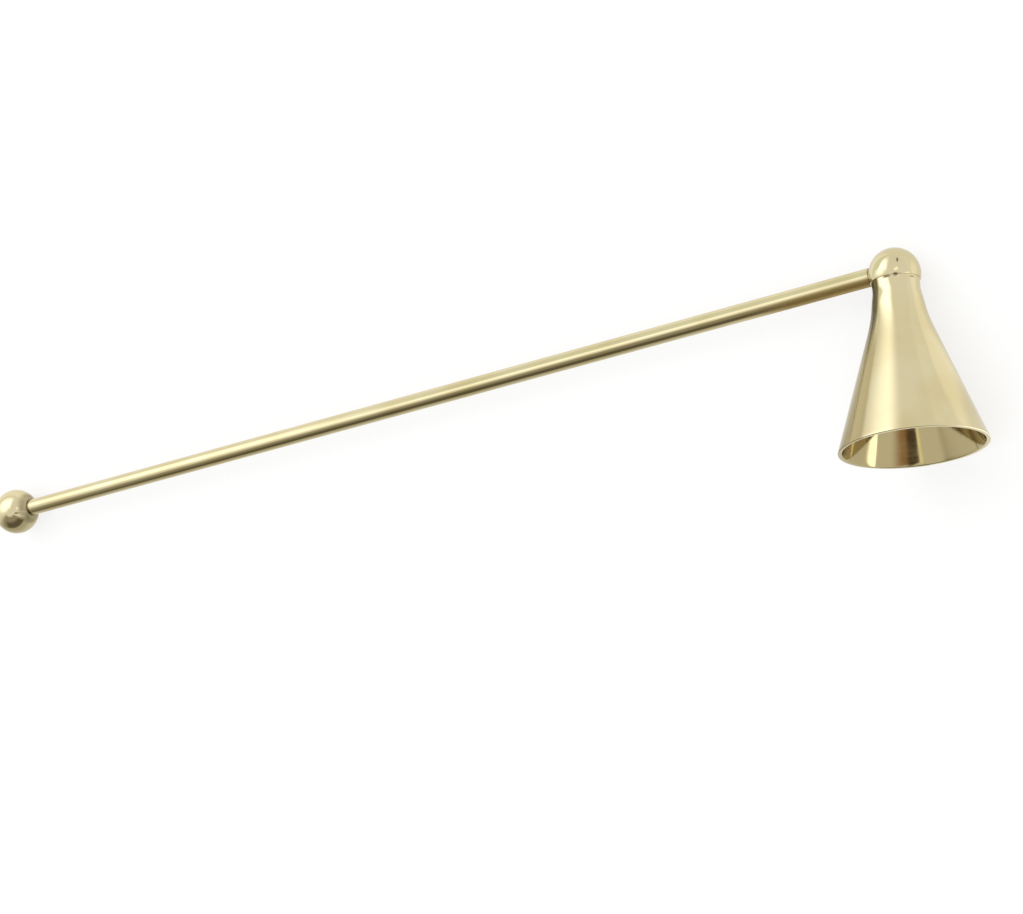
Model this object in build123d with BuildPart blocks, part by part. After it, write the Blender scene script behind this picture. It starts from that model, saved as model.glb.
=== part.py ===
from build123d import *
from math import asin, atan2, cos, hypot, sin, sqrt, tan
import os

# Candle snuffer in turned brass, lying at rest on its rim and its end ball, handle along X.
# Drops are distances from the centre of the head ball along the axis of the bell.

# Driving dimensions, in millimetres and degrees
ball_diameter = 13.0
rod_diameter = 4.7
ball_spacing = 293.0
rod_offset = 0.8
seat_drop = 1.95

bell_reach = 44.6
rim_diameter = 37.0
bell_wall = 1.0
lip_break = 0.2
flare_foot_diameter = 17.5
flare_foot_drop = 16.6
neck_foot_drop = 9.6
neck_foot_diameter = 13.5
neck_swell_drop = 6.6
neck_swell_diameter = 12.55
waist_drop = 4.0
waist_diameter = 11.8
neck_top_diameter = 12.0
neck_wall = 1.2
web_thickness = 2.4

spigot_diameter = 3.2
spigot_length = 3.4
spigot_relief = 0.2
spot_margin = 0.1
spot_depth = 0.1

screw_diameter = 3.5
screw_engagement = 3.2
screw_relief = 0.4
head_diameter = 6.6
head_height = 2.3
head_break = 0.5
slot_width = 0.9
slot_depth = 1.1
washer_diameter = 6.2
washer_thickness = 0.9
washer_split = 0.6

turned_fit = 0.05
screw_clearance = 0.2
edge_break = 0.15
spot_overrun = 2.0

# Radii that the outlines share
ball_radius = ball_diameter / 2
rod_radius = rod_diameter / 2
spigot_radius = spigot_diameter / 2
screw_radius = screw_diameter / 2
rim_radius = rim_diameter / 2
rim_drop = bell_reach - lip_break

# Resting pose: the rod lies level at the height of the end ball's centre, and the bell leans
# back from level until the widest edge of its rim meets the floor.
rim_from_rod = rim_drop + rod_offset
rim_span = hypot(rim_from_rod, rim_radius)
lean = atan2(rim_radius, rim_from_rod) - asin(ball_radius / rim_span)
fore_reach = (bell_reach + rod_offset) * cos(lean) + (rim_radius - lip_break) * sin(lean)
rod_y = (fore_reach - ball_radius) / 2
head_x = (ball_spacing + ball_radius - rim_radius) / 2
rod_z = ball_radius

mouth_direction = Vector(0, -cos(lean), sin(lean))
end_centre = Vector(head_x - ball_spacing, rod_y, rod_z)
rod_head_end = Vector(head_x, rod_y, rod_z)
head_centre = rod_head_end + mouth_direction * rod_offset

# Planes and axes of the pieces
bell_axis = Axis(head_centre, mouth_direction)
bell_profile = Plane(
    origin=head_centre, x_dir=(1, 0, 0), z_dir=Vector(1, 0, 0).cross(mouth_direction)
)
bell_plane = Plane(origin=head_centre, x_dir=(1, 0, 0), z_dir=mouth_direction)
rod_plane = Plane(origin=end_centre, x_dir=(0, 1, 0), z_dir=(1, 0, 0))
end_profile = Plane(origin=end_centre, x_dir=(1, 0, 0), z_dir=(0, 0, 1))

# Seats of the rod: a round flat a little wider than the rod, sunk just below each ball's surface
spot_radius = rod_radius + spot_margin
end_seat = sqrt(ball_radius**2 - spot_radius**2) - spot_depth
head_seat = sqrt(ball_radius**2 - (spot_radius + rod_offset) ** 2) - spot_depth
rod_length = ball_spacing - end_seat - head_seat
bore_radius = spigot_radius + turned_fit
bore_depth = spigot_length + spigot_relief


# Handle rod: round bar with a spigot turned on each end
with BuildPart() as handle_rod:
    with BuildSketch(rod_plane.offset(end_seat)):
        Circle(rod_radius)
    extrude(amount=rod_length)
    chamfer(handle_rod.edges().filter_by(GeomType.CIRCLE), edge_break)
    with BuildSketch(rod_plane.offset(end_seat - spigot_length)):
        Circle(spigot_radius)
    extrude(amount=rod_length + 2 * spigot_length)
    spigot_ends = handle_rod.faces().filter_by(Axis.X).sort_by(Axis.X)
    chamfer(spigot_ends[0].edges() + spigot_ends[-1].edges(), edge_break)

# End ball: sphere with the seat and blind hole of the rod
with BuildPart() as end_ball:
    with BuildSketch(end_profile):
        with BuildLine():
            Line((ball_radius, 0), (-ball_radius, 0))
            ThreePointArc((-ball_radius, 0), (0, ball_radius), (ball_radius, 0))
        make_face()
    revolve(axis=Axis(end_centre, (1, 0, 0)))
    with BuildSketch(rod_plane.offset(end_seat)):
        Circle(spot_radius)
    extrude(amount=spot_overrun, mode=Mode.SUBTRACT)
    with BuildSketch(rod_plane.offset(end_seat)):
        Circle(bore_radius)
    extrude(amount=-bore_depth, mode=Mode.SUBTRACT)

# Head ball: sphere cut flat to sit on the neck, with the pocket of the rod in its side and a
# blind hole for the screw in its flat
flat_radius = sqrt(ball_radius**2 - seat_drop**2)
with BuildPart() as head_ball:
    with BuildSketch(bell_profile):
        with BuildLine():
            Line((0, seat_drop), (flat_radius, seat_drop))
            ThreePointArc((flat_radius, seat_drop), (ball_radius, 0), (0, -ball_radius))
            Line((0, -ball_radius), (0, seat_drop))
        make_face()
    revolve(axis=bell_axis)
    with BuildSketch(rod_plane.offset(ball_spacing - head_seat)):
        Circle(spot_radius)
    extrude(amount=-spot_overrun, mode=Mode.SUBTRACT)
    with BuildSketch(rod_plane.offset(ball_spacing - head_seat)):
        Circle(bore_radius)
    extrude(amount=bore_depth, mode=Mode.SUBTRACT)
    with BuildSketch(bell_plane.offset(seat_drop)):
        Circle(screw_radius + turned_fit)
    extrude(amount=-(screw_engagement + screw_relief), mode=Mode.SUBTRACT)

# Bell outline, as points of radius and drop: the cone runs from the foot of the flare to the rim,
# where a bevel leads to the flat face of the lip
flare_foot = (flare_foot_diameter / 2, flare_foot_drop)
slope = atan2(rim_radius - flare_foot[0], rim_drop - flare_foot_drop)
waist = (waist_diameter / 2, waist_drop)
neck_top = (neck_top_diameter / 2, seat_drop)
neck_swell = (neck_swell_diameter / 2, neck_swell_drop)
neck_foot = (neck_foot_diameter / 2, neck_foot_drop)
rim = (rim_radius, rim_drop)
lip_outer = (rim_radius - lip_break, bell_reach)

mouth_radius = rim_radius - bell_wall / cos(slope)
mouth = (mouth_radius, rim_drop)
lip_inner = (mouth_radius + lip_break, bell_reach)
neck_bore_radius = waist[0] - neck_wall
bore_mouth = (neck_bore_radius, rim_drop - (mouth_radius - neck_bore_radius) / tan(slope))
web_drop = seat_drop + web_thickness
bore_foot = (neck_bore_radius, web_drop)
hole_radius = screw_radius + screw_clearance

# Bell: a turned shell with a waisted neck, a flare and a cone, bored straight and then conical
# inside, and closed on top by a web
with BuildPart() as bell:
    with BuildSketch(bell_profile):
        with BuildLine():
            TangentArc(waist, neck_top, tangent=(0, -1))
            Spline(
                waist,
                neck_swell,
                neck_foot,
                flare_foot,
                tangents=((0, 1), (sin(slope), cos(slope))),
            )
            Polyline(flare_foot, rim, lip_outer, lip_inner, mouth, bore_mouth, bore_foot)
            Polyline(bore_foot, (hole_radius, web_drop), (hole_radius, seat_drop), neck_top)
        make_face()
    revolve(axis=bell_axis)
    top_circles = bell.edges().filter_by(GeomType.CIRCLE).group_by(bell_axis)[0]
    chamfer(top_circles.sort_by(SortBy.RADIUS)[-1], edge_break)

# Lock washer: spring ring with one split, clamped between the web and the screw's head
with BuildPart() as lock_washer:
    with BuildSketch(bell_plane.offset(web_drop)):
        Circle(washer_diameter / 2)
        Circle(hole_radius, mode=Mode.SUBTRACT)
        with Locations((washer_diameter / 4, 0)):
            Rectangle(washer_diameter / 2, washer_split, mode=Mode.SUBTRACT)
    extrude(amount=washer_thickness)

# Bell screw: bevelled head with a driver slot, shank up through the web into the head ball
head_seat_drop = web_drop + washer_thickness
shank_length = washer_thickness + web_thickness + screw_engagement
with BuildPart() as bell_screw:
    with BuildSketch(bell_plane.offset(head_seat_drop)):
        Circle(head_diameter / 2)
    extrude(amount=head_height)
    head_face = bell_screw.faces().sort_by(bell_axis)[-1]
    chamfer(head_face.edges(), head_break)
    with BuildSketch(bell_plane.offset(head_seat_drop)):
        Circle(screw_radius)
    extrude(amount=-shank_length)
    tip_face = bell_screw.faces().sort_by(bell_axis)[0]
    chamfer(tip_face.edges(), edge_break)
    with BuildSketch(bell_plane.offset(head_seat_drop + head_height)):
        Rectangle(head_diameter, slot_width)
    extrude(amount=-slot_depth, mode=Mode.SUBTRACT)

handle_rod.part.label = "handle_rod"
end_ball.part.label = "end_ball"
head_ball.part.label = "head_ball"
bell.part.label = "bell"
lock_washer.part.label = "lock_washer"
bell_screw.part.label = "bell_screw"

os.makedirs("parts", exist_ok=True)
export_step(handle_rod.part, "parts/handle_rod.step")
export_step(end_ball.part, "parts/end_ball.step")
export_step(head_ball.part, "parts/head_ball.step")
export_step(bell.part, "parts/bell.step")
export_step(lock_washer.part, "parts/lock_washer.step")
export_step(bell_screw.part, "parts/bell_screw.step")
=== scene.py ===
from collections import namedtuple
from math import asin, atan2, ceil, cos, hypot, pi, radians, sin, sqrt, tan

import bmesh
import bpy
from mathutils import Matrix, Vector


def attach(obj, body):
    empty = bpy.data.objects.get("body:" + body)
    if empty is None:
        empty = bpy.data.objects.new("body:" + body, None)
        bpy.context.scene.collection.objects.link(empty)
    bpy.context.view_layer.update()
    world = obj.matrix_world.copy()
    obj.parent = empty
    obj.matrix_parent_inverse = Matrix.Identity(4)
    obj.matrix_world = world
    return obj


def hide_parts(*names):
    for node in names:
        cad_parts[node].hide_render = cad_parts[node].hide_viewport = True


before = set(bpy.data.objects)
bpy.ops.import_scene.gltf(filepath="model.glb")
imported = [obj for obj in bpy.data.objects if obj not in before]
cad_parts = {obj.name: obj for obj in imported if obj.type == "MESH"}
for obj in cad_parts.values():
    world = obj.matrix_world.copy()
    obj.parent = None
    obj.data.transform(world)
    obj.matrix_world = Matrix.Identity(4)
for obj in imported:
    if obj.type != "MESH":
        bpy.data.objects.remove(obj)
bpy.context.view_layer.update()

# Candle snuffer in turned and polished brass, lying on its rim and its end ball.
# Sizes are in millimetres and drops are distances from the centre of the head ball along the
# axis of the bell, as in the part's source. Meshes are placed in metres.

scene = bpy.context.scene
MM = 0.001

# ---------------------------------------------------------------- sizes shared with the source
BALL_RADIUS = 6.5
ROD_RADIUS = 2.35
BALL_SPACING = 293.0
ROD_OFFSET = 0.8
SEAT_DROP = 1.95

BELL_REACH = 44.6
RIM_RADIUS = 18.5
BELL_WALL = 1.0
LIP_BREAK = 0.2
FLARE_FOOT = (8.75, 16.6)
NECK_FOOT = (6.75, 9.6)
NECK_SWELL = (6.275, 6.6)
WAIST = (5.9, 4.0)
NECK_TOP_RADIUS = 6.0
NECK_WALL = 1.2
WEB_THICKNESS = 2.4

SPIGOT_RADIUS = 1.6
SPIGOT_LENGTH = 3.4
SPOT_MARGIN = 0.1
SPOT_DEPTH = 0.1
TURNED_FIT = 0.05
BORE_DEPTH = 3.6

SCREW_RADIUS = 1.75
SCREW_ENGAGEMENT = 3.2
SCREW_RELIEF = 0.4
HEAD_RADIUS = 3.3
HEAD_HEIGHT = 2.3
SLOT_WIDTH = 0.9
SLOT_DEPTH = 1.1
WASHER_RADIUS = 3.1
WASHER_THICKNESS = 0.9
WASHER_SPLIT = 0.6
HOLE_RADIUS = 1.95

# ---------------------------------------------------------------- resting pose, as in the source
rim_drop = BELL_REACH - LIP_BREAK
rim_from_rod = rim_drop + ROD_OFFSET
lean = atan2(RIM_RADIUS, rim_from_rod) - asin(BALL_RADIUS / hypot(rim_from_rod, RIM_RADIUS))
fore_reach = (BELL_REACH + ROD_OFFSET) * cos(lean) + (RIM_RADIUS - LIP_BREAK) * sin(lean)
rod_y = (fore_reach - BALL_RADIUS) / 2
head_x = (BALL_SPACING + BALL_RADIUS - RIM_RADIUS) / 2

mouth_direction = Vector((0, -cos(lean), sin(lean)))
end_centre = Vector((head_x - BALL_SPACING, rod_y, BALL_RADIUS))
head_centre = Vector((head_x, rod_y, BALL_RADIUS)) + mouth_direction * ROD_OFFSET


def frame_at(origin, along, side):
    """Local Z along a piece's axis and local X to its side, in world millimetres."""
    z_axis, x_axis = along.normalized(), side.normalized()
    turn = Matrix((x_axis, z_axis.cross(x_axis), z_axis)).transposed()
    return Matrix.Translation(origin) @ turn.to_4x4()


bell_frame = frame_at(head_centre, mouth_direction, Vector((1, 0, 0)))
rod_frame = frame_at(end_centre, Vector((1, 0, 0)), Vector((0, 1, 0)))

# ---------------------------------------------------------------- small helpers


def linear(hex_colour):
    """An sRGB hex colour as linear RGBA, by the curve of the sRGB standard."""
    parts = [int(hex_colour[i : i + 2], 16) / 255 for i in (1, 3, 5)]
    return tuple(c / 12.92 if c <= 0.04045 else ((c + 0.055) / 1.055) ** 2.4 for c in parts) + (1.0,)


def add(tree, kind, settings=None, **feeds):
    """One node with its settings, and its inputs fed by values or by other nodes' sockets.

    An input is given by its name, with _ for a space, or by its number, as in _0.
    """
    node = tree.nodes.new(kind)
    for name, value in (settings or {}).items():
        setattr(node, name, value)
    for name, value in feeds.items():
        socket = node.inputs[int(name[1:]) if name[1:].isdigit() else name.replace("_", " ")]
        if isinstance(value, bpy.types.NodeSocket):
            tree.links.new(value, socket)
        else:
            socket.default_value = value
    return node


def maths(tree, operation, *values):
    """One sum on numbers or sockets."""
    feeds = {f"_{i}": value for i, value in enumerate(values)}
    return add(tree, "ShaderNodeMath", {"operation": operation}, **feeds).outputs[0]


def blank(owner):
    """The emptied node tree of a material or a world."""
    owner.use_nodes = True
    owner.node_tree.nodes.clear()
    return owner.node_tree


def placed(name, data):
    """A new object in the scene."""
    made = bpy.data.objects.new(name, data)
    scene.collection.objects.link(made)
    return made


# ---------------------------------------------------------------- turned profiles
SPLINE_PASSES = 60      # rounds of evening out the spline's slopes
NEXT_TO_NOTHING = 1e-9


def clamped_spline(points, start_slope, end_slope, steps):
    """Points of a smooth curve through the given ones, leaving and arriving at set directions."""
    chords = [(Vector(b) - Vector(a)).length for a, b in zip(points, points[1:])]
    knots = [sum(chords[:i]) for i in range(len(points))]
    columns = []
    for axis in (0, 1):
        values = [p[axis] for p in points]
        slopes = [start_slope[axis]] + [0.0] * (len(points) - 2) + [end_slope[axis]]
        for _ in range(SPLINE_PASSES):
            for i in range(1, len(points) - 1):
                before, after = chords[i - 1], chords[i]
                rise_in = (values[i] - values[i - 1]) / before
                rise_out = (values[i + 1] - values[i]) / after
                side = 3 * (after * rise_in + before * rise_out)
                slopes[i] = (side - after * slopes[i - 1] - before * slopes[i + 1]) / (
                    2 * (before + after)
                )
        columns.append((values, slopes))
    curve = []
    for k in range(steps + 1):
        place = knots[-1] * k / steps
        i = max(j for j in range(len(points)) if knots[j] <= place + NEXT_TO_NOTHING)
        i = min(i, len(chords) - 1)
        t = (place - knots[i]) / chords[i]
        point = []
        for values, slopes in columns:
            point.append(
                (2 * t**3 - 3 * t**2 + 1) * values[i]
                + (t**3 - 2 * t**2 + t) * chords[i] * slopes[i]
                + (3 * t**2 - 2 * t**3) * values[i + 1]
                + (t**3 - t**2) * chords[i] * slopes[i + 1]
            )
        curve.append(tuple(point))
    return curve


def run(start, end, step):
    """Evenly spaced points from start up to, but without, end."""
    count = max(1, ceil((Vector(end) - Vector(start)).length / step))
    return [tuple(Vector(start).lerp(Vector(end), i / count)) for i in range(count)]


def rounded(corners, arc_steps=8):
    """An open profile of (radius, place, rounding) corners; a corner without rounding stays sharp."""
    profile = []
    for i, (radius, place, *rounding) in enumerate(corners):
        here = Vector((radius, place))
        if not any(rounding):
            profile.append((radius, place))
            continue
        back = (Vector(corners[i - 1][:2]) - here).normalized()
        ahead = (Vector(corners[i + 1][:2]) - here).normalized()
        half = back.angle(ahead) / 2
        centre = here + (back + ahead).normalized() * rounding[0] / sin(half)
        first = here + back * rounding[0] / tan(half) - centre
        last = here + ahead * rounding[0] / tan(half) - centre
        for k in range(arc_steps + 1):
            turn = first.slerp(last, k / arc_steps).normalized()
            profile.append(tuple(centre + turn * rounding[0]))
    return profile


def densified(profile, step):
    """The profile with its straight runs divided, so that a mirror finish shades evenly."""
    dense = []
    for start, end in zip(profile, profile[1:]):
        dense += run(start, end, step)
    return dense + [profile[-1]]


# ---------------------------------------------------------------- geometry node trees
WIRE_CORNER_STEPS = 4


def lathe_tree():
    """Turns a row of profile points round Z, as a lathe does, and closes the seam and the poles.

    Between its start and end, a thread of the given pitch and depth is cut into the profile.
    """
    tree = bpy.data.node_groups.new("lathe", "GeometryNodeTree")
    face = tree.interface
    face.new_socket("Profile", in_out="INPUT", socket_type="NodeSocketGeometry")
    face.new_socket("Segments round", in_out="INPUT", socket_type="NodeSocketInt")
    face.new_socket("Weld distance", in_out="INPUT", socket_type="NodeSocketFloat")
    for size in ("Thread start", "Thread end", "Thread pitch", "Thread depth"):
        face.new_socket(size, in_out="INPUT", socket_type="NodeSocketFloat")
    face.new_socket("Finish", in_out="INPUT", socket_type="NodeSocketMaterial")
    face.new_socket("Turned piece", in_out="OUTPUT", socket_type="NodeSocketGeometry")
    start = add(tree, "NodeGroupInput").outputs
    rows = add(tree, "GeometryNodeAttributeDomainSize", Geometry=start["Profile"]).outputs["Point Count"]
    columns = add(tree, "FunctionNodeIntegerMath", {"operation": "ADD"}, _0=start["Segments round"], _1=1)
    grid = add(tree, "GeometryNodeMeshGrid", Vertices_X=columns.outputs[0], Vertices_Y=rows)
    index = add(tree, "GeometryNodeInputIndex").outputs[0]
    row = add(tree, "FunctionNodeIntegerMath", {"operation": "MODULO"}, _0=index, _1=rows)
    column = add(tree, "FunctionNodeIntegerMath", {"operation": "DIVIDE_FLOOR"}, _0=index, _1=rows)
    point = add(
        tree,
        "GeometryNodeSampleIndex",
        {"data_type": "FLOAT_VECTOR"},
        Geometry=start["Profile"],
        Value=add(tree, "GeometryNodeInputPosition").outputs[0],
        Index=row.outputs[0],
    )
    share = maths(tree, "DIVIDE", column.outputs[0], start["Segments round"])
    angle = maths(tree, "MULTIPLY", share, 2 * pi)
    along = add(tree, "ShaderNodeSeparateXYZ", Vector=point.outputs["Value"]).outputs["Z"]
    turns = maths(tree, "SUBTRACT", maths(tree, "DIVIDE", along, start["Thread pitch"]), share)
    flank = maths(tree, "ABSOLUTE", maths(tree, "MULTIPLY_ADD", maths(tree, "FRACT", turns), 2.0, -1.0))
    from_start = maths(tree, "SUBTRACT", along, start["Thread start"])
    to_end = maths(tree, "SUBTRACT", start["Thread end"], along)
    run_out = maths(tree, "DIVIDE", maths(tree, "MINIMUM", from_start, to_end), start["Thread pitch"])
    run_out = maths(tree, "MINIMUM", maths(tree, "MAXIMUM", run_out, 0.0), 1.0)
    groove = maths(tree, "MULTIPLY", maths(tree, "MULTIPLY", flank, run_out), start["Thread depth"])
    inward = add(tree, "ShaderNodeCombineXYZ", X=groove)
    threaded = add(
        tree,
        "ShaderNodeVectorMath",
        {"operation": "SUBTRACT"},
        _0=point.outputs["Value"],
        _1=inward.outputs[0],
    )
    turned = add(
        tree,
        "ShaderNodeVectorRotate",
        {"rotation_type": "Z_AXIS"},
        Vector=threaded.outputs[0],
        Angle=angle,
    )
    wrapped = add(
        tree, "GeometryNodeSetPosition", Geometry=grid.outputs["Mesh"], Position=turned.outputs[0]
    )
    welded = add(
        tree, "GeometryNodeMergeByDistance", Geometry=wrapped.outputs[0], Distance=start["Weld distance"]
    )
    smooth = add(tree, "GeometryNodeSetShadeSmooth", Geometry=welded.outputs[0])
    real = add(tree, "GeometryNodeRealizeInstances", Geometry=smooth.outputs[0])
    finished = add(
        tree, "GeometryNodeSetMaterial", Geometry=real.outputs[0], Material=start["Finish"]
    )
    add(tree, "NodeGroupOutput", Turned_piece=finished.outputs[0])
    return tree


def bar_tree():
    """Sweeps a closed section along a path of points, as wire is bent into a ring."""
    tree = bpy.data.node_groups.new("swept bar", "GeometryNodeTree")
    face = tree.interface
    face.new_socket("Path", in_out="INPUT", socket_type="NodeSocketGeometry")
    face.new_socket("Section width", in_out="INPUT", socket_type="NodeSocketFloat")
    face.new_socket("Section height", in_out="INPUT", socket_type="NodeSocketFloat")
    face.new_socket("Corner rounding", in_out="INPUT", socket_type="NodeSocketFloat")
    face.new_socket("Finish", in_out="INPUT", socket_type="NodeSocketMaterial")
    face.new_socket("Bar", in_out="OUTPUT", socket_type="NodeSocketGeometry")
    start = add(tree, "NodeGroupInput").outputs
    path = add(tree, "GeometryNodeMeshToCurve", Mesh=start["Path"])
    upright = add(tree, "GeometryNodeSetCurveNormal", {"mode": "Z_UP"}, Curve=path.outputs[0])
    section = add(
        tree,
        "GeometryNodeCurvePrimitiveQuadrilateral",
        Width=start["Section width"],
        Height=start["Section height"],
    )
    wire_section = add(
        tree,
        "GeometryNodeFilletCurve",
        {"mode": "POLY"},
        Curve=section.outputs[0],
        Count=WIRE_CORNER_STEPS,
        Radius=start["Corner rounding"],
    )
    swept = add(
        tree,
        "GeometryNodeCurveToMesh",
        Curve=upright.outputs[0],
        Profile_Curve=wire_section.outputs[0],
        Fill_Caps=True,
    )
    smooth = add(tree, "GeometryNodeSetShadeSmooth", Geometry=swept.outputs[0])
    real = add(tree, "GeometryNodeRealizeInstances", Geometry=smooth.outputs[0])
    finished = add(
        tree, "GeometryNodeSetMaterial", Geometry=real.outputs[0], Material=start["Finish"]
    )
    add(tree, "NodeGroupOutput", Bar=finished.outputs[0])
    return tree


def grown(name, points, tree, inputs, place, sharp_angle):
    """Runs a tree on a row of points and returns the plain mesh as an object at the origin."""
    seed = bpy.data.meshes.new(name)
    seed.from_pydata(points, [(i, i + 1) for i in range(len(points) - 1)], [])
    maker = placed(name + "_maker", seed)
    modifier = maker.modifiers.new("maker", "NODES")
    modifier.node_group = tree
    for item in tree.interface.items_tree:
        if item.in_out == "INPUT" and item.name in inputs:
            modifier[item.identifier] = inputs[item.name]
    maker.update_tag()
    evaluated = maker.evaluated_get(bpy.context.evaluated_depsgraph_get())
    mesh = bpy.data.meshes.new_from_object(evaluated)
    maker.modifiers.remove(modifier)
    bpy.data.objects.remove(maker)
    bpy.data.meshes.remove(seed)
    mesh.name = name
    shape = bmesh.new()
    shape.from_mesh(mesh)
    bmesh.ops.recalc_face_normals(shape, faces=shape.faces)
    shape.to_mesh(mesh)
    shape.free()
    mesh.transform(Matrix.Scale(MM, 4) @ place)
    mesh.set_sharp_from_angle(angle=sharp_angle)
    return placed(name, mesh)


def cut(piece, cutter, sharp_angle):
    """Takes the cutter out of the piece and leaves one plain mesh."""
    modifier = piece.modifiers.new("cut", "BOOLEAN")
    modifier.operation, modifier.solver, modifier.object = "DIFFERENCE", "EXACT", cutter
    evaluated = piece.evaluated_get(bpy.context.evaluated_depsgraph_get())
    mesh = bpy.data.meshes.new_from_object(evaluated)
    piece.modifiers.remove(modifier)
    old = piece.data
    mesh.name = old.name
    piece.data = mesh
    bpy.data.meshes.remove(old)
    bpy.data.objects.remove(cutter)
    mesh.shade_smooth()
    mesh.set_sharp_from_angle(angle=sharp_angle)


# ---------------------------------------------------------------- finishes
SEED_STEPS = (1.0, 1.7, 2.3)    # how a seed shifts the noise along X, Y and Z


def local_millimetres(tree, place):
    """Object coordinates in a piece's own frame: millimetres, Z along its axis."""
    return add(
        tree,
        "ShaderNodeMapping",
        {"vector_type": "TEXTURE"},
        Vector=add(tree, "ShaderNodeTexCoord").outputs["Object"],
        Location=place.translation * MM,
        Rotation=place.to_euler(),
        Scale=(MM, MM, MM),
    ).outputs[0]


def grain(tree, vector, size, detail=2.0, roughness=0.5, stretch=(1, 1, 1), seed=0.0):
    """Noise whose features measure size millimetres, stretched by the given amounts."""
    scaled = add(
        tree,
        "ShaderNodeMapping",
        Vector=vector,
        Location=[seed * step for step in SEED_STEPS],
        Scale=[1 / (size * s) for s in stretch],
    ).outputs[0]
    return add(
        tree, "ShaderNodeTexNoise", Vector=scaled, Scale=1.0, Detail=detail, Roughness=roughness
    ).outputs["Fac"]


def eased(tree, value, low, high, least=0.0, most=1.0):
    """A soft step: least below low, most above high."""
    return add(
        tree,
        "ShaderNodeMapRange",
        {"interpolation_type": "SMOOTHSTEP"},
        Value=value,
        From_Min=low,
        From_Max=high,
        To_Min=least,
        To_Max=most,
    ).outputs[0]


def blended(tree, share, first, second):
    """A colour between two, each a hex value or a socket."""
    first, second = (linear(c) if isinstance(c, str) else c for c in (first, second))
    return add(tree, "ShaderNodeMix", {"data_type": "RGBA"}, _0=share, _6=first, _7=second).outputs[2]


# What a metal surface is told, with places along the piece's axis and sizes in millimetres
Marks = namedtuple("Marks", "spacing stretch depth")
Seam = namedtuple("Seam", "place half_width darkness clean")
PaintedShade = namedtuple("PaintedShade", "facing_from facing_to along_from along_to colour dulling")
Spot = namedtuple("Spot", "centre half_sizes darkness depth")
InsideShade = namedtuple("InsideShade", "colour along_from along_to")

# Sizes on the surface in millimetres: slow waves that buffing leaves, film from fingers, patches
# where the metal has toned in the air, and crumbs of dirt in a joint
WAVE_SIZE, WAVE_DEPTH = 9.0, 0.004
FINGER_SIZE, PATCH_SIZE, CRUMB_SIZE = 5.5, 16.0, 2.6
CRUMB_STRETCH = (1, 1, 0.6)
# Beside its lines the polish leaves bands, so many times wider and deeper
BAND_WIDTH, BAND_DEPTH = 5, 1.5
# Levels of the noise between which the metal goes from fresh to toned, its film from thin to
# thick, and a seam from clean to dirty
TONING, FILMING, CRUMBLING = (0.35, 0.7), (0.36, 0.66), (0.4, 0.6)
FINGER_SHARE = 0.6          # of the film; the polishing lines hold the rest
EDGE_WANDER = 0.08          # how far the edge of a side of painted shade strays
SEAM_CORE, SPOT_CORE = 0.35, 0.4    # share of a seam's or a spot's size that is dark in full
TARNISH_ROUGHNESS = 0.3


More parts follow.
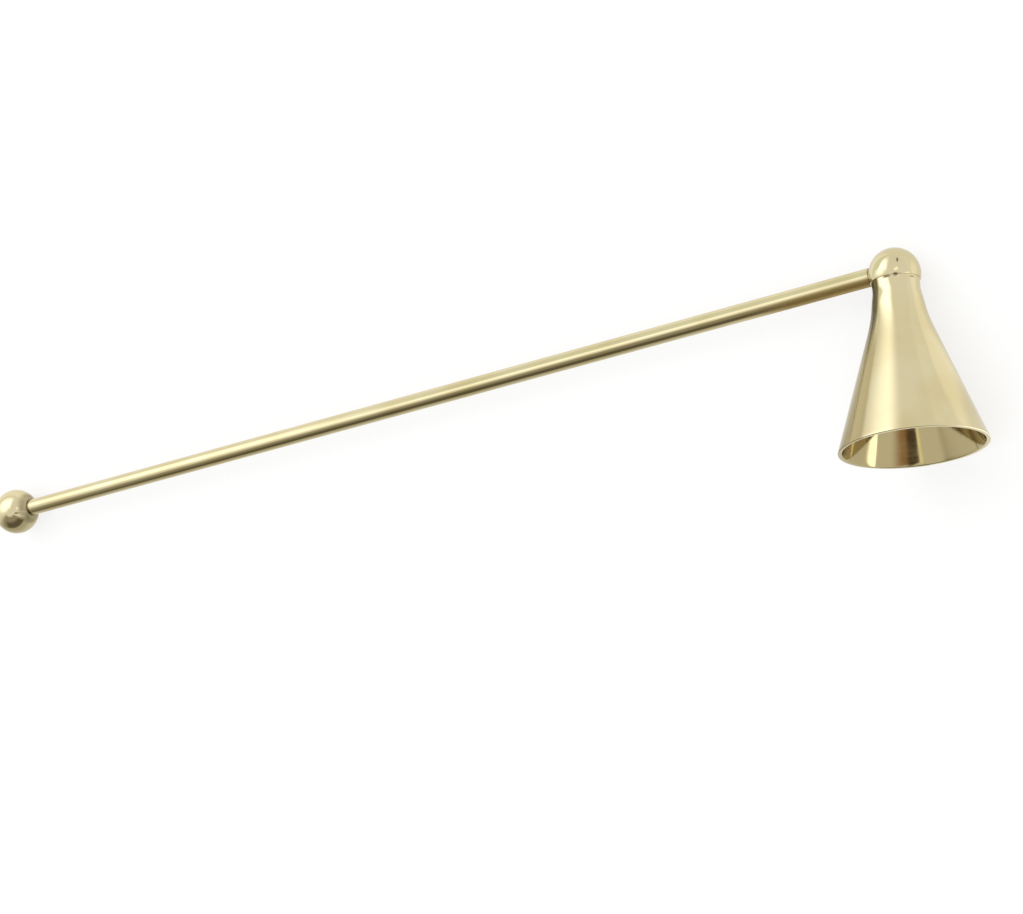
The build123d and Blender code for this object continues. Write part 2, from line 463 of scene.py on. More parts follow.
def metal(name, place, tones, marks, haze, dirt_and_shade_seams=(), painted_shade_sides=(), spots=(), inside_shade=None):
    """A metal surface with polishing marks, handling haze, slow toning, dark seams and painted shade.

    tones: colours of the fresh and the toned metal, and of tarnish and painted shade;
    marks: the lines that the last polish left;
    haze: lowest and highest roughness;
    dirt_and_shade_seams: dirt and painted shade round a joint; clean is how much of it the cleanest
    places lack;
    painted_shade_sides: painted shade where a side faces the other part, made duller too. Facing is 1
    where the surface looks along the piece's own -X, which is at the handle from the bell and at the
    bell's side from the rod;
    spots: small dents and dark marks, as ellipsoids in the piece's frame;
    inside_shade: painted shade on the faces that carry the attribute "inside", and where it sets in.
    """
    material = bpy.data.materials.new(name)
    tree = blank(material)
    here = local_millimetres(tree, place)
    xyz = add(tree, "ShaderNodeSeparateXYZ", Vector=here).outputs

    fresh, toned, tarnish_and_shade = tones
    spacing, stretch, depth = marks
    lines = grain(tree, here, spacing, detail=3.0, roughness=0.6, stretch=stretch, seed=3.0)
    bands = grain(tree, here, spacing * BAND_WIDTH, detail=2.0, stretch=stretch, seed=8.0)
    waves = grain(tree, here, WAVE_SIZE, detail=1.0, seed=5.0)
    fingers = grain(tree, here, FINGER_SIZE, detail=4.0, roughness=0.62, seed=12.0)
    patches = grain(tree, here, PATCH_SIZE, detail=3.0, seed=21.0)
    crumbs = grain(tree, here, CRUMB_SIZE, roughness=0.6, stretch=CRUMB_STRETCH, seed=31.0)

    colour = blended(tree, eased(tree, patches, *TONING), fresh, toned)
    # painted shade inside the bell, setting in towards the rim
    if inside_shade:
        inside = add(tree, "ShaderNodeAttribute", {"attribute_name": "inside"}).outputs["Fac"]
        set_in = eased(tree, xyz["Z"], inside_shade.along_from, inside_shade.along_to)
        colour = blended(tree, maths(tree, "MULTIPLY", inside, set_in), colour, inside_shade.colour)
    if painted_shade_sides:
        squares = [maths(tree, "POWER", xyz[axis], 2.0) for axis in (0, 1)]
        radius = maths(tree, "SQRT", maths(tree, "ADD", *squares))
        facing = maths(tree, "DIVIDE", maths(tree, "MULTIPLY", xyz[0], -1.0), radius)
        wander = maths(tree, "MULTIPLY_ADD", fingers, EDGE_WANDER, -EDGE_WANDER / 2)
        facing = maths(tree, "ADD", facing, wander)
    dull = 0.0
    # painted shade, with a duller finish, on the sides that face the other part
    for side in painted_shade_sides:
        there = eased(tree, facing, side.facing_from, side.facing_to)
        along = eased(tree, xyz["Z"], side.along_from, side.along_to)
        there = maths(tree, "MULTIPLY", there, along)
        if inside_shade:
            there = maths(tree, "MULTIPLY", there, maths(tree, "SUBTRACT", 1.0, inside))
        colour = blended(tree, there, colour, side.colour)
        dull = maths(tree, "MAXIMUM", dull, maths(tree, "MULTIPLY", there, side.dulling))
    dark = 0.0
    # dirt and painted shade round the joints
    for seam in dirt_and_shade_seams:
        off = maths(tree, "ABSOLUTE", maths(tree, "SUBTRACT", xyz["Z"], seam.place))
        core = seam.half_width * SEAM_CORE
        near = eased(tree, off, core, seam.half_width, least=seam.darkness, most=0.0)
        patchy = eased(tree, crumbs, *CRUMBLING, least=1.0 - seam.clean)
        dark = maths(tree, "MAXIMUM", dark, maths(tree, "MULTIPLY", near, patchy))
    dents = 0.0
    for spot in spots:
        from_centre = add(
            tree,
            "ShaderNodeMapping",
            {"vector_type": "TEXTURE"},
            Vector=here,
            Location=spot.centre,
            Scale=spot.half_sizes,
        ).outputs[0]
        away = add(tree, "ShaderNodeVectorMath", {"operation": "LENGTH"}, _0=from_centre).outputs["Value"]
        within = eased(tree, away, SPOT_CORE, 1.0, least=1.0, most=0.0)
        dark = maths(tree, "MAXIMUM", dark, maths(tree, "MULTIPLY", within, spot.darkness))
        dents = maths(tree, "MULTIPLY_ADD", within, spot.depth, dents)
    colour = blended(tree, dark, colour, tarnish_and_shade)

    from_fingers = maths(tree, "MULTIPLY", fingers, FINGER_SHARE)
    film = maths(tree, "ADD", from_fingers, maths(tree, "MULTIPLY", lines, 1 - FINGER_SHARE))
    roughness = eased(tree, film, *FILMING, least=haze[0], most=haze[1])
    roughness = maths(tree, "MULTIPLY_ADD", dark, TARNISH_ROUGHNESS, roughness)
    roughness = maths(tree, "ADD", dull, roughness)

    height = maths(tree, "MULTIPLY", lines, depth)
    height = maths(tree, "MULTIPLY_ADD", bands, depth * BAND_DEPTH, height)
    height = maths(tree, "MULTIPLY_ADD", waves, WAVE_DEPTH, height)
    height = maths(tree, "SUBTRACT", height, dents)
    relief = add(tree, "ShaderNodeBump", Strength=1.0, Distance=MM, Height=height).outputs[0]

    surface = add(
        tree,
        "ShaderNodeBsdfPrincipled",
        Base_Color=colour,
        Metallic=1.0,
        Roughness=roughness,
        Normal=relief,
    )
    add(tree, "ShaderNodeOutputMaterial", Surface=surface.outputs[0])
    return material


def in_bell(*point):
    """A point of the world, in millimetres, in the bell's own frame."""
    return bell_frame.inverted() @ Vector(point)


spot_radius = ROD_RADIUS + SPOT_MARGIN
end_seat = sqrt(BALL_RADIUS**2 - spot_radius**2) - SPOT_DEPTH
head_seat = sqrt(BALL_RADIUS**2 - (spot_radius + ROD_OFFSET) ** 2) - SPOT_DEPTH
rod_start, rod_end = end_seat, BALL_SPACING - head_seat

BRASS = ("#DCD0A8", "#D5C79A", "#3F3319")
FREE_CUTTING_BRASS = ("#D8C48A", "#CDB77C", "#4A3D22")
ZINC = ("#B9BBBC", "#A9ABAD", "#5A5148")
# Colours of painted shade: on the bell's flank, on its neck by the handle, and on the rod's front near
# the head ball
SIDE_PAINTED_SHADE, CORNER_PAINTED_SHADE, BAR_PAINTED_SHADE = "#B4A578", "#685D35", "#B59E66"

ROUND_THE_AXIS = (14.0, 14.0, 1.0)
ALONG_THE_AXIS = (1.0, 1.0, 60.0)
BUFFED_RINGS = Marks(spacing=0.45, stretch=ROUND_THE_AXIS, depth=0.0006)
BUFFED_LINES = Marks(spacing=0.35, stretch=ALONG_THE_AXIS, depth=0.0006)
TOOL_RINGS = Marks(spacing=0.2, stretch=ROUND_THE_AXIS, depth=0.002)
BUFFED, MACHINED, PLATED = (0.06, 0.12), (0.18, 0.3), (0.2, 0.34)

# The one nick that the head ball has taken in use, and three dark marks in the joint below it
NICK = Spot(in_bell(144.1, 23.0, 11.4), half_sizes=(0.3, 0.85, 0.85), darkness=0.8, depth=0.06)
JOINT_DARK_MARKS = [
    Spot(in_bell(141.0, 19.6, 13.2), half_sizes=(1.5, 1.2, 0.4), darkness=0.8, depth=0.0),
    Spot(in_bell(143.3, 19.6, 12.5), half_sizes=(0.8, 1.2, 0.6), darkness=0.7, depth=0.0),
    Spot(in_bell(146.1, 18.3, 9.4), half_sizes=(0.9, 1.2, 0.3), darkness=0.5, depth=0.0),
]

# Polished brass, turned on a lathe and buffed: fine rings run round the bell; painted shade darkens it
# inside towards the rim, on the flank that faces the handle and, most, on the neck by the handle
turned_brass = metal(
    "polished_brass_turned", bell_frame, BRASS, BUFFED_RINGS, BUFFED,
    spots=JOINT_DARK_MARKS,
    inside_shade=InsideShade("#BAAB80", along_from=26.0, along_to=35.0),
    painted_shade_sides=[
        PaintedShade(0.21, 0.30, along_from=10.0, along_to=22.0, colour=SIDE_PAINTED_SHADE, dulling=0.1),
        PaintedShade(0.30, 0.44, along_from=26.0, along_to=9.0, colour=CORNER_PAINTED_SHADE, dulling=0.2),
    ],
)
# The same brass on the head ball, with its nick
headed_brass = metal(
    "polished_brass_head", bell_frame, BRASS, BUFFED_RINGS, BUFFED, spots=[NICK] + JOINT_DARK_MARKS
)
# Polished brass bar, drawn through a die and buffed lengthwise: its lines run along the rod; dirt and
# painted shade darken its joints, and painted shade darkens its front side near the head ball
drawn_brass = metal(
    "polished_brass_drawn", rod_frame, BRASS, BUFFED_LINES, BUFFED,
    dirt_and_shade_seams=[
        Seam(rod_start, half_width=1.2, darkness=0.5, clean=0.2),
        Seam(rod_end, half_width=1.2, darkness=0.85, clean=0.0),
    ],
    painted_shade_sides=[
        PaintedShade(0.0, 0.3, along_from=245.0, along_to=266.0, colour=BAR_PAINTED_SHADE, dulling=0.45)
    ],
)
# Polished brass ball on the handle's end, turned and buffed on the handle's axis, with dirt and painted
# shade round its joint
knob_brass = metal(
    "polished_brass_knob", rod_frame, BRASS, BUFFED_RINGS, BUFFED,
    dirt_and_shade_seams=[Seam(rod_start, half_width=1.7, darkness=0.5, clean=0.2)],
)
# Free-cutting brass as the lathe left it: duller than the buffed pieces
screw_brass = metal("brass_machined", bell_frame, FREE_CUTTING_BRASS, TOOL_RINGS, MACHINED)
# Spring steel under bright zinc: a cool grey, slightly cloudy mirror
spring_steel = metal("spring_steel_zinc_plated", bell_frame, ZINC, TOOL_RINGS, PLATED)

# ---------------------------------------------------------------- turned pieces
TURNED, SWEPT = lathe_tree(), bar_tree()
WELD = 0.0005               # millimetres between points that become one
SHARP = radians(38)         # edges that turn by more stay sharp
Thread = namedtuple("Thread", "start end pitch depth")
NO_THREAD = Thread(start=0.0, end=0.0, pitch=1.0, depth=0.0)

# Faces round one turn, points along a curve, and millimetres between points on a straight run
SEGMENTS, ROD_SEGMENTS, SCREW_SEGMENTS = 256, 128, 96
FLARE_STEPS, NECK_STEPS, END_BALL_STEPS, HEAD_BALL_STEPS, WASHER_STEPS = 110, 12, 220, 200, 72
BELL_STEP, ROD_STEP, SHANK_STEP, SCREW_HEAD_STEP = 0.8, 2.0, 0.06, 0.3

# Roundings of edges and corners, in millimetres
LIP_OUTER_ROUND, LIP_INNER_ROUND = 0.22, 0.3
EDGE_ROUND = 0.05           # where two turned faces meet and nothing wears them
BORE_BLEND, WEB_FOOT_ROUND = 3.0, 0.3
BAR_ROUND = 0.15
SEAT_RIM_ROUND, FLAT_RIM_ROUND, SCREW_BORE_ROUND = 0.04, 0.03, 0.1
TIP_ROUND, UNDER_HEAD_ROUND, SCREW_HEAD_ROUND = 0.15, 0.1, 0.5
WIRE_ROUND = 0.12


def turned(name, profile, segments, finish, place, thread=NO_THREAD):
    """A turned piece from its profile of radius and place along the axis."""
    points = [(radius, 0.0, drop) for radius, drop in profile]
    inputs = {"Segments round": segments, "Weld distance": WELD, "Finish": finish}
    inputs |= zip(("Thread start", "Thread end", "Thread pitch", "Thread depth"), thread)
    return grown(name, points, TURNED, inputs, place, SHARP)


def ball_profile(rim_angle, margin, steps, corners):
    """A ball from its closed pole to a margin before the rim of its flat, then the corners on."""
    start, stop = -pi / 2, rim_angle - margin
    angles = [start + (stop - start) * k / steps for k in range(steps + 1)]
    round_part = [(BALL_RADIUS * cos(a), BALL_RADIUS * sin(a)) for a in angles]
    last = (BALL_RADIUS * cos(stop), BALL_RADIUS * sin(stop))
    return round_part + rounded([last] + corners)[1:]


def finish_as(piece, slot, *nodes):
    """The piece rides on the one body and stands for its solids, which are hidden; slot is not used."""
    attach(piece, "root")
    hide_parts(*nodes)


# Bell: outline from the seam down to the lip, and back up inside to the bore and the web
slope = atan2(RIM_RADIUS - FLARE_FOOT[0], rim_drop - FLARE_FOOT[1])
mouth_radius = RIM_RADIUS - BELL_WALL / cos(slope)
neck_bore = WAIST[0] - NECK_WALL
bore_mouth_drop = rim_drop - (mouth_radius - neck_bore) / tan(slope)
web_drop = SEAT_DROP + WEB_THICKNESS
lip_spread = LIP_BREAK * tan(slope)

flare = clamped_spline(
    [WAIST, NECK_SWELL, NECK_FOOT, FLARE_FOOT], (0.0, 1.0), (sin(slope), cos(slope)), FLARE_STEPS
)
neck_rise, neck_out = WAIST[1] - SEAT_DROP, NECK_TOP_RADIUS - WAIST[0]
neck_curve = (neck_rise**2 + neck_out**2) / (2 * neck_out)
FIRST_NECK_STEP = 2         # the steps before it make way for the rounding of the top edge
neck_arc = []
for k in range(FIRST_NECK_STEP, NECK_STEPS):
    rise = neck_rise * (1 - k / NECK_STEPS)
    neck_arc.append((WAIST[0] + neck_curve - sqrt(neck_curve**2 - rise**2), WAIST[1] - rise))
bell_profile = rounded(
    neck_arc
    + flare
    + [
        (RIM_RADIUS + lip_spread, BELL_REACH, LIP_OUTER_ROUND),
        (mouth_radius + lip_spread, BELL_REACH, LIP_INNER_ROUND),
        (neck_bore, bore_mouth_drop, BORE_BLEND),
        (neck_bore, web_drop, WEB_FOOT_ROUND),
        (HOLE_RADIUS, web_drop, EDGE_ROUND),
        (HOLE_RADIUS, SEAT_DROP, EDGE_ROUND),
        (NECK_TOP_RADIUS, SEAT_DROP, EDGE_ROUND),
        neck_arc[0],
    ]
)
bell_profile = densified(bell_profile, BELL_STEP)
bell = turned("snuffer_bell", bell_profile, SEGMENTS, turned_brass, bell_frame)

# The shader tells the inside from the outside by an attribute: a point is inside where its
# radius is less than that of the middle of the wall at its drop
outline = sorted((drop, radius) for radius, drop in neck_arc + flare)
outline.append((BELL_REACH, RIM_RADIUS + lip_spread))


def outer_radius(drop):
    """Radius of the bell's outline at a drop."""
    for (drop_a, radius_a), (drop_b, radius_b) in zip(outline, outline[1:]):
        if drop <= drop_b:
            share = max(0.0, (drop - drop_a) / (drop_b - drop_a))
            return radius_a + (radius_b - radius_a) * share
    return outline[-1][1]


to_bell = bell_frame.inverted() @ Matrix.Scale(1 / MM, 4)
inside = []
for vertex in bell.data.vertices:
    x, y, drop = to_bell @ vertex.co
    depth = outer_radius(drop) - hypot(x, y)
    on_lip = BELL_REACH - drop < LIP_BREAK / 2
    inside.append(0.0 if on_lip else max(0.0, min(1.0, (depth - BELL_WALL / 4) / (BELL_WALL / 2))))
bell.data.attributes.new("inside", "FLOAT", "POINT").data.foreach_set("value", inside)
finish_as(bell, "polished_brass", "bell")

# Rod: round bar with a spigot turned on each end
rod_profile = rounded(
    [
        (0.0, rod_start - SPIGOT_LENGTH),
        (SPIGOT_RADIUS, rod_start - SPIGOT_LENGTH, BAR_ROUND),
        (SPIGOT_RADIUS, rod_start, EDGE_ROUND),
        (ROD_RADIUS, rod_start, BAR_ROUND),
        (ROD_RADIUS, rod_end, BAR_ROUND),
        (SPIGOT_RADIUS, rod_end, EDGE_ROUND),
        (SPIGOT_RADIUS, rod_end + SPIGOT_LENGTH, BAR_ROUND),
        (0.0, rod_end + SPIGOT_LENGTH),
    ]
)
rod_profile = densified(rod_profile, ROD_STEP)
rod = turned("handle_bar", rod_profile, ROD_SEGMENTS, drawn_brass, rod_frame)
finish_as(rod, "polished_brass", "handle_rod")

# End ball: sphere with the seat and the blind hole of the rod
bore_radius = SPIGOT_RADIUS + TURNED_FIT
seat_angle = atan2(end_seat + SPOT_DEPTH, spot_radius)
end_profile = ball_profile(
    seat_angle,
    radians(0.8),
    END_BALL_STEPS,
    [
        (spot_radius, end_seat + SPOT_DEPTH, SEAT_RIM_ROUND),
        (spot_radius, end_seat),
        (bore_radius, end_seat, EDGE_ROUND),
        (bore_radius, end_seat - BORE_DEPTH),
        (0.0, end_seat - BORE_DEPTH),
    ],
)
end_ball = turned("end_knob", end_profile, SEGMENTS, knob_brass, rod_frame)
finish_as(end_ball, "polished_brass", "end_ball")

# Head ball: sphere cut flat for the neck, with the pocket and the blind hole of the rod in its side
flat_radius = sqrt(BALL_RADIUS**2 - SEAT_DROP**2)
flat_angle = atan2(SEAT_DROP, flat_radius)
screw_bore = SCREW_RADIUS + TURNED_FIT
screw_bore_end = SEAT_DROP - SCREW_ENGAGEMENT - SCREW_RELIEF
head_profile = ball_profile(
    flat_angle,
    radians(0.6),
    HEAD_BALL_STEPS,
    [
        (flat_radius, SEAT_DROP, FLAT_RIM_ROUND),
        (screw_bore, SEAT_DROP, SCREW_BORE_ROUND),
        (screw_bore, screw_bore_end),
        (0.0, screw_bore_end),
    ],
)
head_ball = turned("head_knob", head_profile, SEGMENTS, headed_brass, bell_frame)
CUTTER_OVERRUN = 2.0        # how far the pocket's cutter stands out of the ball
pocket_floor = BALL_SPACING - head_seat
pocket_profile = [
    (0.0, pocket_floor - CUTTER_OVERRUN),
    (spot_radius, pocket_floor - CUTTER_OVERRUN),
    (spot_radius, pocket_floor),
    (bore_radius, pocket_floor),
    (bore_radius, pocket_floor + BORE_DEPTH),
    (0.0, pocket_floor + BORE_DEPTH),
]
pocket = turned("pocket", pocket_profile, SEGMENTS, headed_brass, rod_frame)
cut(head_ball, pocket, SHARP)
finish_as(head_ball, "polished_brass", "head_ball")

# Bell screw: slotted head over a threaded shank, whose thread ends a pitch below the seam
head_seat_drop = web_drop + WASHER_THICKNESS
head_face_drop = head_seat_drop + HEAD_HEIGHT
screw_tip_drop = SEAT_DROP - SCREW_ENGAGEMENT
THREAD_PITCH = 0.6
THREAD_DEPTH = 0.3
thread = Thread(screw_tip_drop + TIP_ROUND, SEAT_DROP + THREAD_PITCH, THREAD_PITCH, THREAD_DEPTH)
shank = rounded(
    [(0.0, screw_tip_drop), (SCREW_RADIUS, screw_tip_drop, TIP_ROUND), (SCREW_RADIUS, thread.end)]
)
above_thread = rounded(
    [
        (SCREW_RADIUS, thread.end),
        (SCREW_RADIUS, head_seat_drop),
        (HEAD_RADIUS, head_seat_drop, UNDER_HEAD_ROUND),
        (HEAD_RADIUS, head_face_drop, SCREW_HEAD_ROUND),
        (0.0, head_face_drop),
    ]
)
screw_profile = densified(shank, SHANK_STEP) + densified(above_thread, SCREW_HEAD_STEP)[1:]
screw = turned("clamp_screw", screw_profile, SCREW_SEGMENTS, screw_brass, bell_frame, thread)

SLOT_OVERRUN = 1            # how far the slot's cutter stands out of the head
slot_mesh = bpy.data.meshes.new("slot")
slot_shape = bmesh.new()
for x in (-HEAD_RADIUS - SLOT_OVERRUN, HEAD_RADIUS + SLOT_OVERRUN):
    for y in (-SLOT_WIDTH / 2, SLOT_WIDTH / 2):
        for z in (head_face_drop - SLOT_DEPTH, head_face_drop + SLOT_OVERRUN):
            slot_shape.verts.new((x, y, z))
bmesh.ops.convex_hull(slot_shape, input=slot_shape.verts)
slot_shape.to_mesh(slot_mesh)
slot_shape.free()
slot_mesh.transform(Matrix.Scale(MM, 4) @ bell_frame)
cut(screw, placed("slot", slot_mesh), SHARP)
finish_as(screw, "screw_brass", "bell_screw")

# Lock washer: one turn of square spring wire, pressed flat by the screw, its ends a gap apart
washer_middle = (WASHER_RADIUS + HOLE_RADIUS) / 2
half_split = asin(WASHER_SPLIT / 2 / washer_middle)
washer_path = []
for k in range(WASHER_STEPS + 1):
    turn = half_split + (2 * pi - 2 * half_split) * k / WASHER_STEPS
    washer_path.append(
        (washer_middle * cos(turn), washer_middle * sin(turn), web_drop + WASHER_THICKNESS / 2)
    )
washer_inputs = {
    "Section width": WASHER_RADIUS - HOLE_RADIUS,
    "Section height": WASHER_THICKNESS,
    "Corner rounding": WIRE_ROUND,
    "Finish": spring_steel,
}
washer = grown("spring_washer", washer_path, SWEPT, washer_inputs, bell_frame, SHARP)
finish_as(washer, "spring_steel", "lock_washer")

# ---------------------------------------------------------------- studio
scene.view_settings.view_transform = "Standard"
PURE_WHITE = (1, 1, 1, 1)


def seen_in_metal(tree):
    """1 where a reflection or a clear body sees the surface."""
    path = add(tree, "ShaderNodeLightPath").outputs
    return maths(tree, "MAXIMUM", path["Is Glossy Ray"], path["Is Transmission Ray"])


def seen_directly(tree):
    """1 where the eye, a reflection or a clear body sees the surface, and 0 for its light."""
    eye = add(tree, "ShaderNodeLightPath").outputs["Is Camera Ray"]
    return maths(tree, "MAXIMUM", eye, seen_in_metal(tree))


def speckle(tree, scale, detail):
    """Noise in an object's own coordinates, with about so many cells to the metre."""
    here = add(tree, "ShaderNodeTexCoord").outputs["Object"]
    return add(tree, "ShaderNodeTexNoise", Vector=here, Scale=scale, Detail=detail).outputs["Fac"]


def plane(name, corners, finish):
    """A flat or bent card from rows of corner points, in metres."""
    mesh = bpy.data.meshes.new(name)
    row = len(corners[0])
    points = [p for line in corners for p in line]
    faces = [
        (i * row + j, i * row + j + 1, (i + 1) * row + j + 1, (i + 1) * row + j)
        for i in range(len(corners) - 1)
        for j in range(row - 1)
    ]
    mesh.from_pydata(points, [], faces)
    mesh.materials.append(finish)
    card = placed(name, mesh)
    return card


# Floor: matt white paper, part of whose whiteness is its own, so that it stays white to the eye
# and in the metal while the object's shadow still shows on it
PAPER_SHARE = 0.7
PAPER_IN_METAL = 0.88
PAPER_FIBRES = 900.0        # to the metre
FLOOR_REACH = 8.0           # metres


def white_paper():
    """Matt white paper with a trace of its fibres."""
    paper = bpy.data.materials.new("matt_paper")
    tree = blank(paper)
    tint = blended(tree, speckle(tree, PAPER_FIBRES, detail=2.0), "#F6F6F4", "#FCFCFB")
    lit = add(tree, "ShaderNodeBsdfDiffuse", Color=tint)
    mirrored = add(tree, "ShaderNodeLightPath").outputs["Is Glossy Ray"]
    own_level = maths(tree, "MULTIPLY_ADD", mirrored, PAPER_IN_METAL - 1.0, 1.0)
    own = add(tree, "ShaderNodeEmission", Color=PURE_WHITE, Strength=own_level)
    share = maths(tree, "MULTIPLY", seen_directly(tree), PAPER_SHARE)
    mixed = add(tree, "ShaderNodeMixShader", _0=share, _1=lit.outputs[0], _2=own.outputs[0])
    add(tree, "ShaderNodeOutputMaterial", Surface=mixed.outputs[0])
    return paper


reach = (-FLOOR_REACH, FLOOR_REACH)
plane("floor", [[(x, y, 0.0) for x in reach] for y in reach], white_paper())

# World: an even white cyclorama for the eye and the metal, and a plain level of light otherwise
WORLD_LIGHT = 1.15
WORLD_SEEN = 1.0
WORLD_IN_METAL = 0.92


def cyclorama():
    """A white room all round, as bright to the eye, in the metal and as light as set above."""
    world = bpy.data.worlds.new("cyclorama")
    tree = blank(world)
    eye = add(tree, "ShaderNodeLightPath").outputs["Is Camera Ray"]
    strength = maths(tree, "MULTIPLY_ADD", eye, WORLD_SEEN - WORLD_LIGHT, WORLD_LIGHT)
    mirrored = seen_in_metal(tree)
    strength = maths(tree, "MULTIPLY_ADD", mirrored, WORLD_IN_METAL - WORLD_LIGHT, strength)
    sky = add(tree, "ShaderNodeBackground", Color=PURE_WHITE, Strength=strength)
    add(tree, "ShaderNodeOutputWorld", Surface=sky.outputs[0])
    return world


scene.world = cyclorama()


def towards(azimuth, elevation, distance):
    """A point seen from the middle of the object; azimuth turns from +X to +Y, in degrees."""
    a, e = radians(azimuth), radians(elevation)
    return Vector((cos(a) * cos(e), sin(a) * cos(e), sin(e))) * distance


def soft_lamp(name, place, width, height, strength):
    """A soft lamp that faces the object and lights the paper, in metres and in watts for each
    square metre of it; the cards below are what the metal sees instead."""
    lamp = bpy.data.lights.new(name, "AREA")
    lamp.shape, lamp.size, lamp.size_y = "RECTANGLE", width, height
    lamp.energy = strength * width * height
    holder = placed(name, lamp)
    holder.location = place
    holder.rotation_euler = (-holder.location).to_track_quat("-Z", "Y").to_euler()
    holder.visible_camera = holder.visible_glossy = False


window_place = towards(azimuth=130, elevation=42, distance=1.8)
soft_lamp("window_lamp", window_place, width=1.2, height=0.9, strength=4.4)

WEAVE_CELLS, WEAVE_DEPTH = 1.5, 0.12     # cells to the metre, and how much a cloth's light varies
CARD_STEPS = (56, 40)                    # faces across and upright, fine enough for soft edges


def cloth(name, colour, radiance, side=None):
    """An evenly lit cloth, thinning out where the card's cover attribute falls to nothing; with a
    side, "front" or "back", it hangs clear when it is seen from the other one."""
    finish = bpy.data.materials.new(name)
    tree = blank(finish)
    weave = speckle(tree, WEAVE_CELLS, detail=1.0)
    weave = maths(tree, "MULTIPLY_ADD", weave, WEAVE_DEPTH, 1 - WEAVE_DEPTH / 2)
    glow = maths(tree, "MULTIPLY", radiance, weave)
    lit = add(tree, "ShaderNodeEmission", Color=linear(colour), Strength=glow)
    clear = add(tree, "ShaderNodeBsdfTransparent")
    cover = add(tree, "ShaderNodeAttribute", {"attribute_name": "cover"}).outputs["Fac"]
    if side:
        behind = add(tree, "ShaderNodeNewGeometry").outputs["Backfacing"]
        wanted = behind if side == "back" else maths(tree, "SUBTRACT", 1.0, behind)
        cover = maths(tree, "MULTIPLY", cover, wanted)
    mixed = add(tree, "ShaderNodeMixShader", _0=cover, _1=clear.outputs[0], _2=lit.outputs[0])
    add(tree, "ShaderNodeOutputMaterial", Surface=mixed.outputs[0])
    return finish


def fade(value, span, soft):
    """0 at the ends of a span and 1 inside it, over a soft margin at each end."""
    share = max(0.0, min(1.0, (value - span[0]) / soft[0], (span[1] - value) / soft[1]))
    return share * share * (3 - 2 * share)


def card(name, place, across, upright, soft_across, soft_upright, finish):
    """A card with soft edges that only the metal sees: place turns a pair of values, from the
    spans across and upright, into a point."""
    rows, covers = [], []
    for j in range(CARD_STEPS[1] + 1):
        v = upright[0] + (upright[1] - upright[0]) * j / CARD_STEPS[1]
        line = []
        for i in range(CARD_STEPS[0] + 1):
            u = across[0] + (across[1] - across[0]) * i / CARD_STEPS[0]
            line.append(place(u, v))
            covers.append(fade(u, across, soft_across) * fade(v, upright, soft_upright))
        rows.append(line)
    made = plane(name, rows, finish)
    made.data.attributes.new("cover", "FLOAT", "POINT").data.foreach_set("value", covers)
    made.visible_camera = made.visible_diffuse = made.visible_shadow = False


def round_the_object(distance):
    """Places a card on a sphere round the object, by azimuth and elevation in degrees."""
    return lambda azimuth, elevation: towards(azimuth, elevation, distance)


def level(height):
    """Places a level card at a height, by x and y in millimetres."""
    return lambda x, y: Vector((x, y, height)) * MM


def fanned(x, y, height):
    """Places a level card at a height, by azimuth and distance from a point in millimetres."""
    return lambda azimuth, distance: level(height)(
        x + cos(radians(azimuth)) * distance, y + sin(radians(azimuth)) * distance
    )


WHITE, COOL, GREY = "#FFFEFA", "#F8FAFF", "#F1F6F0"
# Heights of the cards that lie over one another on the paper, and of the shelf, in millimetres
SHADE_HEIGHT, LIGHT_HEIGHT, THROWN_HEIGHT, SIDE_HEIGHT, SHELF_HEIGHT = 0.04, 0.06, 0.07, 0.08, 20

# The bright side: a tall window behind the handle; a shelf close behind the handle hides it from
# the handle's right half; two small lamps stand on the right
card("window", round_the_object(1.0), across=(74, 185), upright=(2, 80),
     soft_across=(26, 45), soft_upright=(38, 30), finish=cloth("window_light", COOL, 2.2))
card("shelf", level(SHELF_HEIGHT), across=(-100, 134), upright=(23, 330),
     soft_across=(100, 4), soft_upright=(3, 60),
     finish=cloth("shelf_underside", GREY, 1.0, side="back"))
card("upper_lamp", round_the_object(0.98), across=(13, 32), upright=(36, 57),
     soft_across=(6, 6), soft_upright=(6, 6), finish=cloth("upper_lamp_light", WHITE, 1.5))
card("far_lamp", round_the_object(2.2), across=(-14, -5), upright=(0, 38),
     soft_across=(3, 3), soft_upright=(1, 8), finish=cloth("far_lamp_light", WHITE, 1.7))
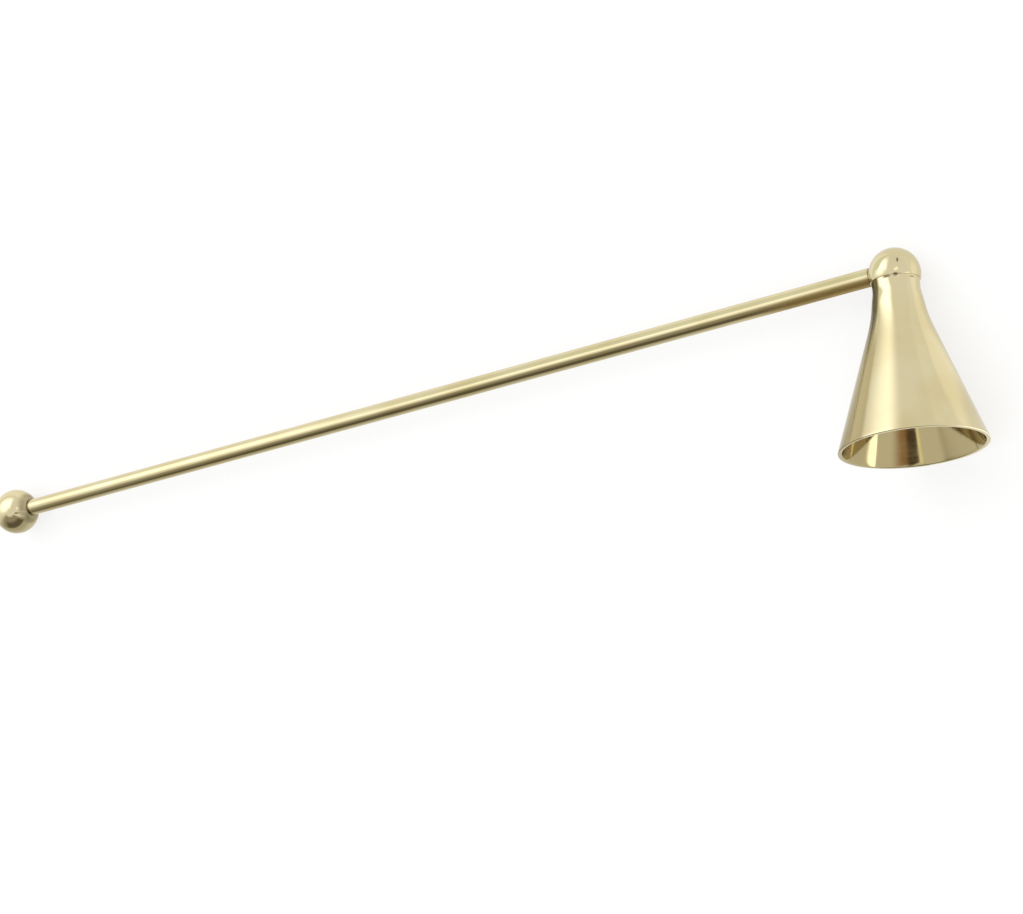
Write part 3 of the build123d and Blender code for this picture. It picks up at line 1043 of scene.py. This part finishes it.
# The unlit side of the room, in front of the bell, with a dark doorway in it, and on the right a
# brown curtain below a dark beam with a gilt edge
card("dim_room", round_the_object(2.4), across=(-176, -38), upright=(-1, 74),
     soft_across=(30, 12), soft_upright=(1, 12), finish=cloth("dim_room_cloth", "#A09B8C", 1.0))
card("dark_doorway", round_the_object(2.35), across=(-146, -50), upright=(1, 50),
     soft_across=(16, 10), soft_upright=(10, 22), finish=cloth("doorway_cloth", "#8C8674", 0.5))
card("curtain", round_the_object(2.32), across=(-24, -12), upright=(22, 62),
     soft_across=(4, 4), soft_upright=(22, 4), finish=cloth("curtain_cloth", "#B28E6C", 1.0))
card("dark_beam", round_the_object(2.3), across=(-29, -15), upright=(44, 70),
     soft_across=(4, 4), soft_upright=(10, 4), finish=cloth("beam_paint", "#6E5F4C", 0.7))
card("gilt_edge", round_the_object(2.25), across=(-38, -12), upright=(66, 73),
     soft_across=(5, 4), soft_upright=(2, 3), finish=cloth("gilt", "#FFFBDC", 1.3))
# What the paper shows: shade in front of the handle, light behind it, light thrown past the mouth
# and the ball, and light beside the mouth
card("front_shade", level(SHADE_HEIGHT), across=(-900, 112), upright=(-900, 22),
     soft_across=(120, 50), soft_upright=(120, 30), finish=cloth("front_shade", "#BBB8AC", 1.0))
card("back_light", level(LIGHT_HEIGHT), across=(-900, 130), upright=(24, 900),
     soft_across=(200, 10), soft_upright=(6, 400), finish=cloth("back_light", WHITE, 1.1))
card("thrown_light", fanned(130, -20, THROWN_HEIGHT), across=(-31, -10), upright=(26, 700),
     soft_across=(6, 4), soft_upright=(14, 250), finish=cloth("thrown_light", WHITE, 3.0))
card("side_light", level(SIDE_HEIGHT), across=(150, 196), upright=(-12, 34),
     soft_across=(8, 16), soft_upright=(12, 12), finish=cloth("side_light", WHITE, 1.12))

# ---------------------------------------------------------------- camera
# Fitted to the outlines of the balls, the rod and the bell in the photograph
PICTURE_WIDTH = 1023        # pixels of the photograph
FOCAL_PIXELS = 3073.27
SENSOR_WIDTH = 36.0
NEAREST, FARTHEST = 0.01, 30.0
camera_place = Vector((453.64, -48.86, 698.16)) * MM
camera_right = Vector((0.82136, -0.21247, -0.52936))
camera_up = Vector((0.21145, 0.97533, -0.06339))

camera_data = bpy.data.cameras.new("camera")
camera_data.sensor_width = SENSOR_WIDTH
camera_data.lens = FOCAL_PIXELS / PICTURE_WIDTH * SENSOR_WIDTH
camera_data.clip_start, camera_data.clip_end = NEAREST, FARTHEST
camera = placed("camera", camera_data)
camera_turn = Matrix((camera_right, camera_up, camera_right.cross(camera_up))).transposed()
camera.matrix_world = Matrix.Translation(camera_place) @ camera_turn.to_4x4()
scene.camera = camera
